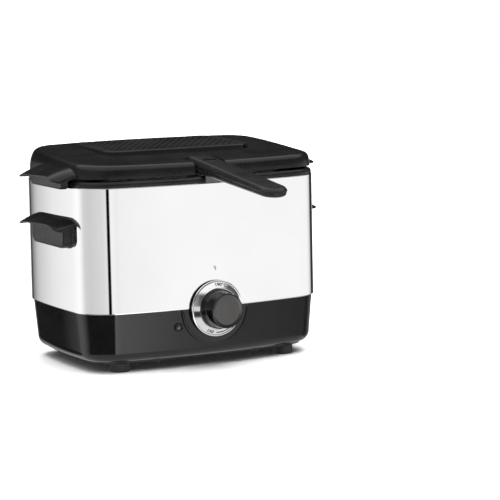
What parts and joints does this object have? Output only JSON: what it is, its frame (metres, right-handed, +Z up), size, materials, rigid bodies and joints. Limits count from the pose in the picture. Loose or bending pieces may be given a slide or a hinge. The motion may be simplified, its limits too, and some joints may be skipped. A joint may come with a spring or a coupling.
{
  "type": "deep fryer",
  "caption": "Compact deep fryer: bowed steel body on a black base, front dial, lift-off lid with a filter vent, and a wire basket whose straight handle folds up.",
  "frame": {"origin": "on the surface it stands on, under the middle of the whole object with the basket handle folded out", "axes": "+Z up, the dial and the basket handle face -Y, +X to the right seen from the front"},
  "size_m": [0.31, 0.332, 0.2169],
  "materials": {
    "base_black": "high gloss moulded",
    "plate_black": "matt moulded",
    "foot_rubber": "soft matt",
    "fastener_steel": "zinc plated",
    "screw_black": "black oxide",
    "body_steel": "polished sheet",
    "trim_black": "satin moulded",
    "bowl_coating": "dark non-stick coating",
    "seal_silicone": "silicone",
    "element_sheath": "oxidised sheath",
    "shield_zinc": "galvanised",
    "thermostat_case": "moulded ceramic-filled",
    "sensor_copper": "copper",
    "cutout_case": "bright",
    "terminal_white": "moulded",
    "wire_red": "silicone sleeve",
    "wire_green": "insulation",
    "pilot_red": "dark translucent",
    "lamp_glass": "clear",
    "knob_black": "satin gloss",
    "ring_chrome": "plated",
    "shaft_steel": "turned",
    "basket_wire": "plated wire",
    "bracket_steel": "bright pressed",
    "handle_black": "satin moulded",
    "button_black": "fine texture",
    "spring_steel": "spring wire",
    "lid_black": "satin moulded",
    "liner_aluminium": "pressed",
    "grille_black": "satin moulded",
    "filter_metal": "expanded mesh"
  },
  "bodies": {
    "body": {"base_housing": "base_black", "bottom_plate": "plate_black", "rubber_feet": "foot_rubber", "base_screws": "screw_black", "steel_shell": "body_steel", "collar": "trim_black", "body_handle_left": "trim_black", "body_handle_right": "trim_black", "handle_fixing_screws": "fastener_steel", "tie_screws": "fastener_steel", "bowl": "bowl_coating", "bowl_seal": "seal_silicone", "bowl_screws": "fastener_steel", "heating_element": "element_sheath", "heat_shield": "shield_zinc", "shield_screws": "fastener_steel", "thermostat_body": "thermostat_case", "thermostat_bracket": "shield_zinc", "sensor_bulb": "sensor_copper", "thermal_cutout": "cutout_case", "terminal_block": "terminal_white", "wiring_loom": "wire_red", "earth_lead": "wire_green", "pilot_lens": "pilot_red", "pilot_lamp": "lamp_glass", "cord_gland": "plate_black"},
    "dial": {"knob": "knob_black", "dial_ring": "ring_chrome", "thermostat_shaft": "shaft_steel", "knob_clip": "spring_steel"},
    "basket": {"basket_tub": "basket_wire", "basket_rim": "basket_wire", "handle_bracket": "bracket_steel", "handle_pin": "shaft_steel"},
    "basket_handle": {"handle_upper": "handle_black", "handle_lower": "handle_black", "handle_screws": "fastener_steel", "button_spring": "spring_steel"},
    "button": {"release_button": "button_black"},
    "lid": {"lid_shell": "lid_black", "lid_liner": "liner_aluminium", "lid_screws": "fastener_steel"},
    "filter": {"filter_mesh": "filter_metal"},
    "vent_cover": {"filter_cover": "grille_black"}
  },
  "joints": [
    {"name": "dial_turn", "type": "hinge", "parent": "body", "child": "dial", "pos_m": [0, -0.036, 0.059], "axis": [0, -1, 0], "range_deg": [0, 210]},
    {"name": "basket_lift", "type": "slide", "parent": "body", "child": "basket", "axis": [0, 0, 1], "range_m": [0, 0.16]},
    {"name": "handle_fold", "type": "hinge", "parent": "basket", "child": "basket_handle", "pos_m": [0, -0.01, 0.1995], "axis": [-1, 0, 0], "range_deg": [0, 90]},
    {"name": "button_press", "type": "slide", "parent": "basket_handle", "child": "button", "axis": [0, 0, -1], "range_m": [0, 0.002], "stiffness_N_per_m": 400, "springref_m": -0.001, "deforming": ["button_spring"]},
    {"name": "lid_lift", "type": "slide", "parent": "basket", "child": "lid", "axis": [0, 0, 1], "range_m": [0, 0.12]},
    {"name": "filter_lift", "type": "slide", "parent": "lid", "child": "filter", "axis": [0, 0, 1], "range_m": [0, 0.03]},
    {"name": "cover_lift", "type": "slide", "parent": "filter", "child": "vent_cover", "axis": [0, 0, 1], "range_m": [0, 0.04]}
  ]
}
